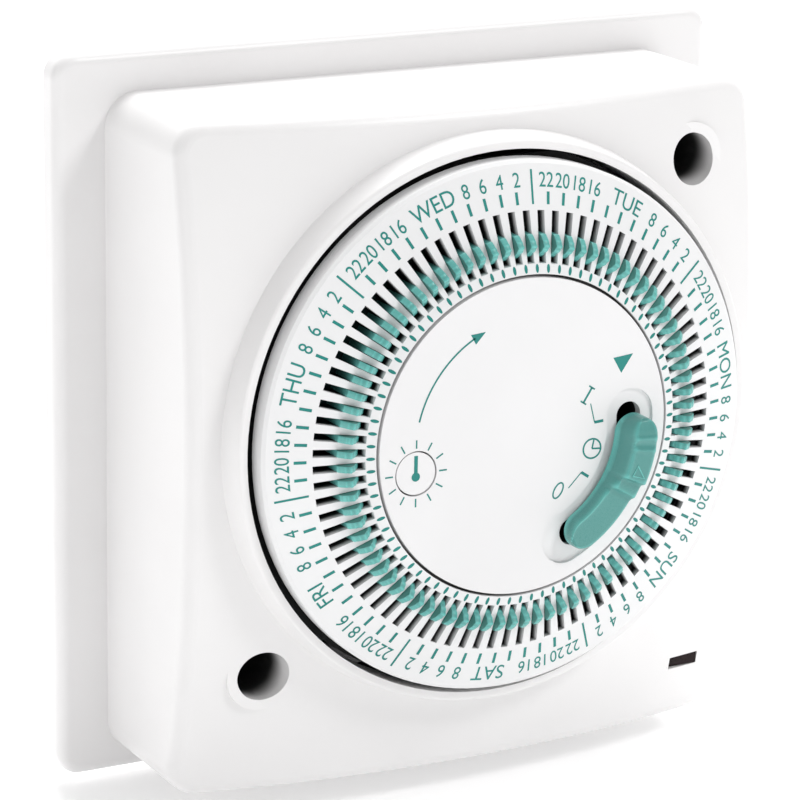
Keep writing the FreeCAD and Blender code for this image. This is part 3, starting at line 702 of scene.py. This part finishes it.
def lever_stem():
    """The curved stem that carries the thumb piece through the disc's slot to the arm."""
    stem = bmesh.new()
    arm_front = -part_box("lever_arm")[0].y / MM
    start, end = STEM_ENDS
    angles = [start + (end - start) * i / STEM_STEPS for i in range(STEM_STEPS + 1)]
    outline = [(LEVER_REACH + STEM_HALF, a) for a in angles]
    outline += [(LEVER_REACH - STEM_HALF, a) for a in reversed(angles)]
    rings = []
    for depth in (arm_front - 1.9, DISC_FRONT + 0.35):
        rings.append([stem.verts.new(polar(r, a, depth)) for r, a in outline])
    count = len(rings[0])
    for i in range(count):
        k = (i + 1) % count
        stem.faces.new((rings[0][i], rings[0][k], rings[1][k], rings[1][i]))
    stem.faces.new(rings[0])
    stem.faces.new(rings[1][::-1])
    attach(new_piece("lever_stem", stem, TEAL, smooth=30), "lever")


def lever_mark():
    """The small raised triangle on the thumb piece."""
    mark = bmesh.new()
    level = LEVER_FRONT - 0.24
    corners = [(20.9, -22.4), (19.0, -17.6), (18.7, -23.0)]
    points = [spot_at(a, r) for r, a in corners]
    ink_strip(mark, points, 0.3, lambda _radius: level, closed=True)
    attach(new_piece("lever_mark", mark, TEAL), "lever")


# ---------------------------------------------------------------- studio and camera

def area_light(name, where, aim, size, power):
    """A round white light, placed and sized in metres."""
    light = bpy.data.lights.new(name, "AREA")
    light.shape = "DISK"
    light.size = size
    light.energy = power
    lamp = bpy.data.objects.new(name, light)
    lamp.location = where
    lamp.rotation_euler = (Vector(aim) - Vector(where)).to_track_quat("-Z", "Y").to_euler()
    bpy.context.scene.collection.objects.link(lamp)


def studio():
    """A pale, faintly glowing floor that curves up into a backdrop, with large soft lights."""
    bm = bmesh.new()
    floor_level = CAD_BOX[0].z - 0.002
    back, radius, reach, steps = 0.9, 0.5, 3.0, 16
    profile = [(-reach, floor_level), (back, floor_level)]
    for i in range(1, steps + 1):
        turn = math.radians(90 * i / steps)
        rise = radius * (1 - math.cos(turn))
        profile.append((back + radius * math.sin(turn), floor_level + rise))
    profile.append((back + radius, reach))
    rows = [[bm.verts.new((x, y, z)) for x in (-reach, reach)] for y, z in profile]
    for a, b in zip(rows, rows[1:]):
        bm.faces.new((a[0], a[1], b[1], b[0]))
    paper, nodes, links = node_material("backdrop_paper")
    shader = nodes["Principled BSDF"]
    fibres = noise(nodes, links, position(nodes, links), 0.6)
    links.new(ramp(nodes, links, fibres, grey(0.93), grey(0.95)), shader.inputs["Base Color"])
    shader.inputs["Roughness"].default_value = 0.9
    shader.inputs["Emission Color"].default_value = (1, 1, 1, 1)
    shader.inputs["Emission Strength"].default_value = 0.24
    backdrop = new_piece("backdrop", bm, paper, smooth=60)
    world = bpy.data.worlds.new("studio")
    bpy.context.scene.world = world
    world.use_nodes = True
    world.node_tree.nodes["Background"].inputs["Color"].default_value = (1, 1, 1, 1)
    world.node_tree.nodes["Background"].inputs["Strength"].default_value = 0.45
    area_light("key", (0.45, -0.7, 0.7), (0, 0, 0), 0.3, 3.7)
    area_light("left_fill", (-0.9, -0.35, 0.2), (0, 0, 0), 0.6, 1.0)
    area_light("floor_wash", (0.25, 0.5, 1.1), (0.25, 0.5, 0), 0.8, 16)
    bpy.context.scene.view_settings.view_transform = "Standard"
    bpy.context.scene.view_settings.look = "None"


def camera():
    """The eye stands to the left and above the object, far off, with a long lens."""
    azimuth, elevation, roll = math.radians(28.37), math.radians(15.91), math.radians(1.0)
    distance, aim, lens = 0.6046, Vector((-0.0064, -0.020, 0.0022)), 167.7
    back = Vector((-math.sin(azimuth) * math.cos(elevation), -math.cos(azimuth) * math.cos(elevation),
                   math.sin(elevation)))
    side = Vector((0, 0, 1)).cross(back).normalized()
    up = back.cross(side)
    right = side * math.cos(roll) + up * math.sin(roll)
    upward = up * math.cos(roll) - side * math.sin(roll)
    view = Matrix((right, upward, back)).transposed().to_4x4()
    view.translation = aim + back * distance
    eye = bpy.data.objects.new("camera", bpy.data.cameras.new("camera"))
    eye.data.sensor_width = 36
    eye.data.lens = lens
    eye.matrix_world = view
    bpy.context.scene.collection.objects.link(eye)
    bpy.context.scene.camera = eye


finish_cad_nodes()
dial_print()
disc_print()
indicator_mark()
tappet_pieces()
lever_piece()
lever_stem()
lever_mark()
studio()
camera()
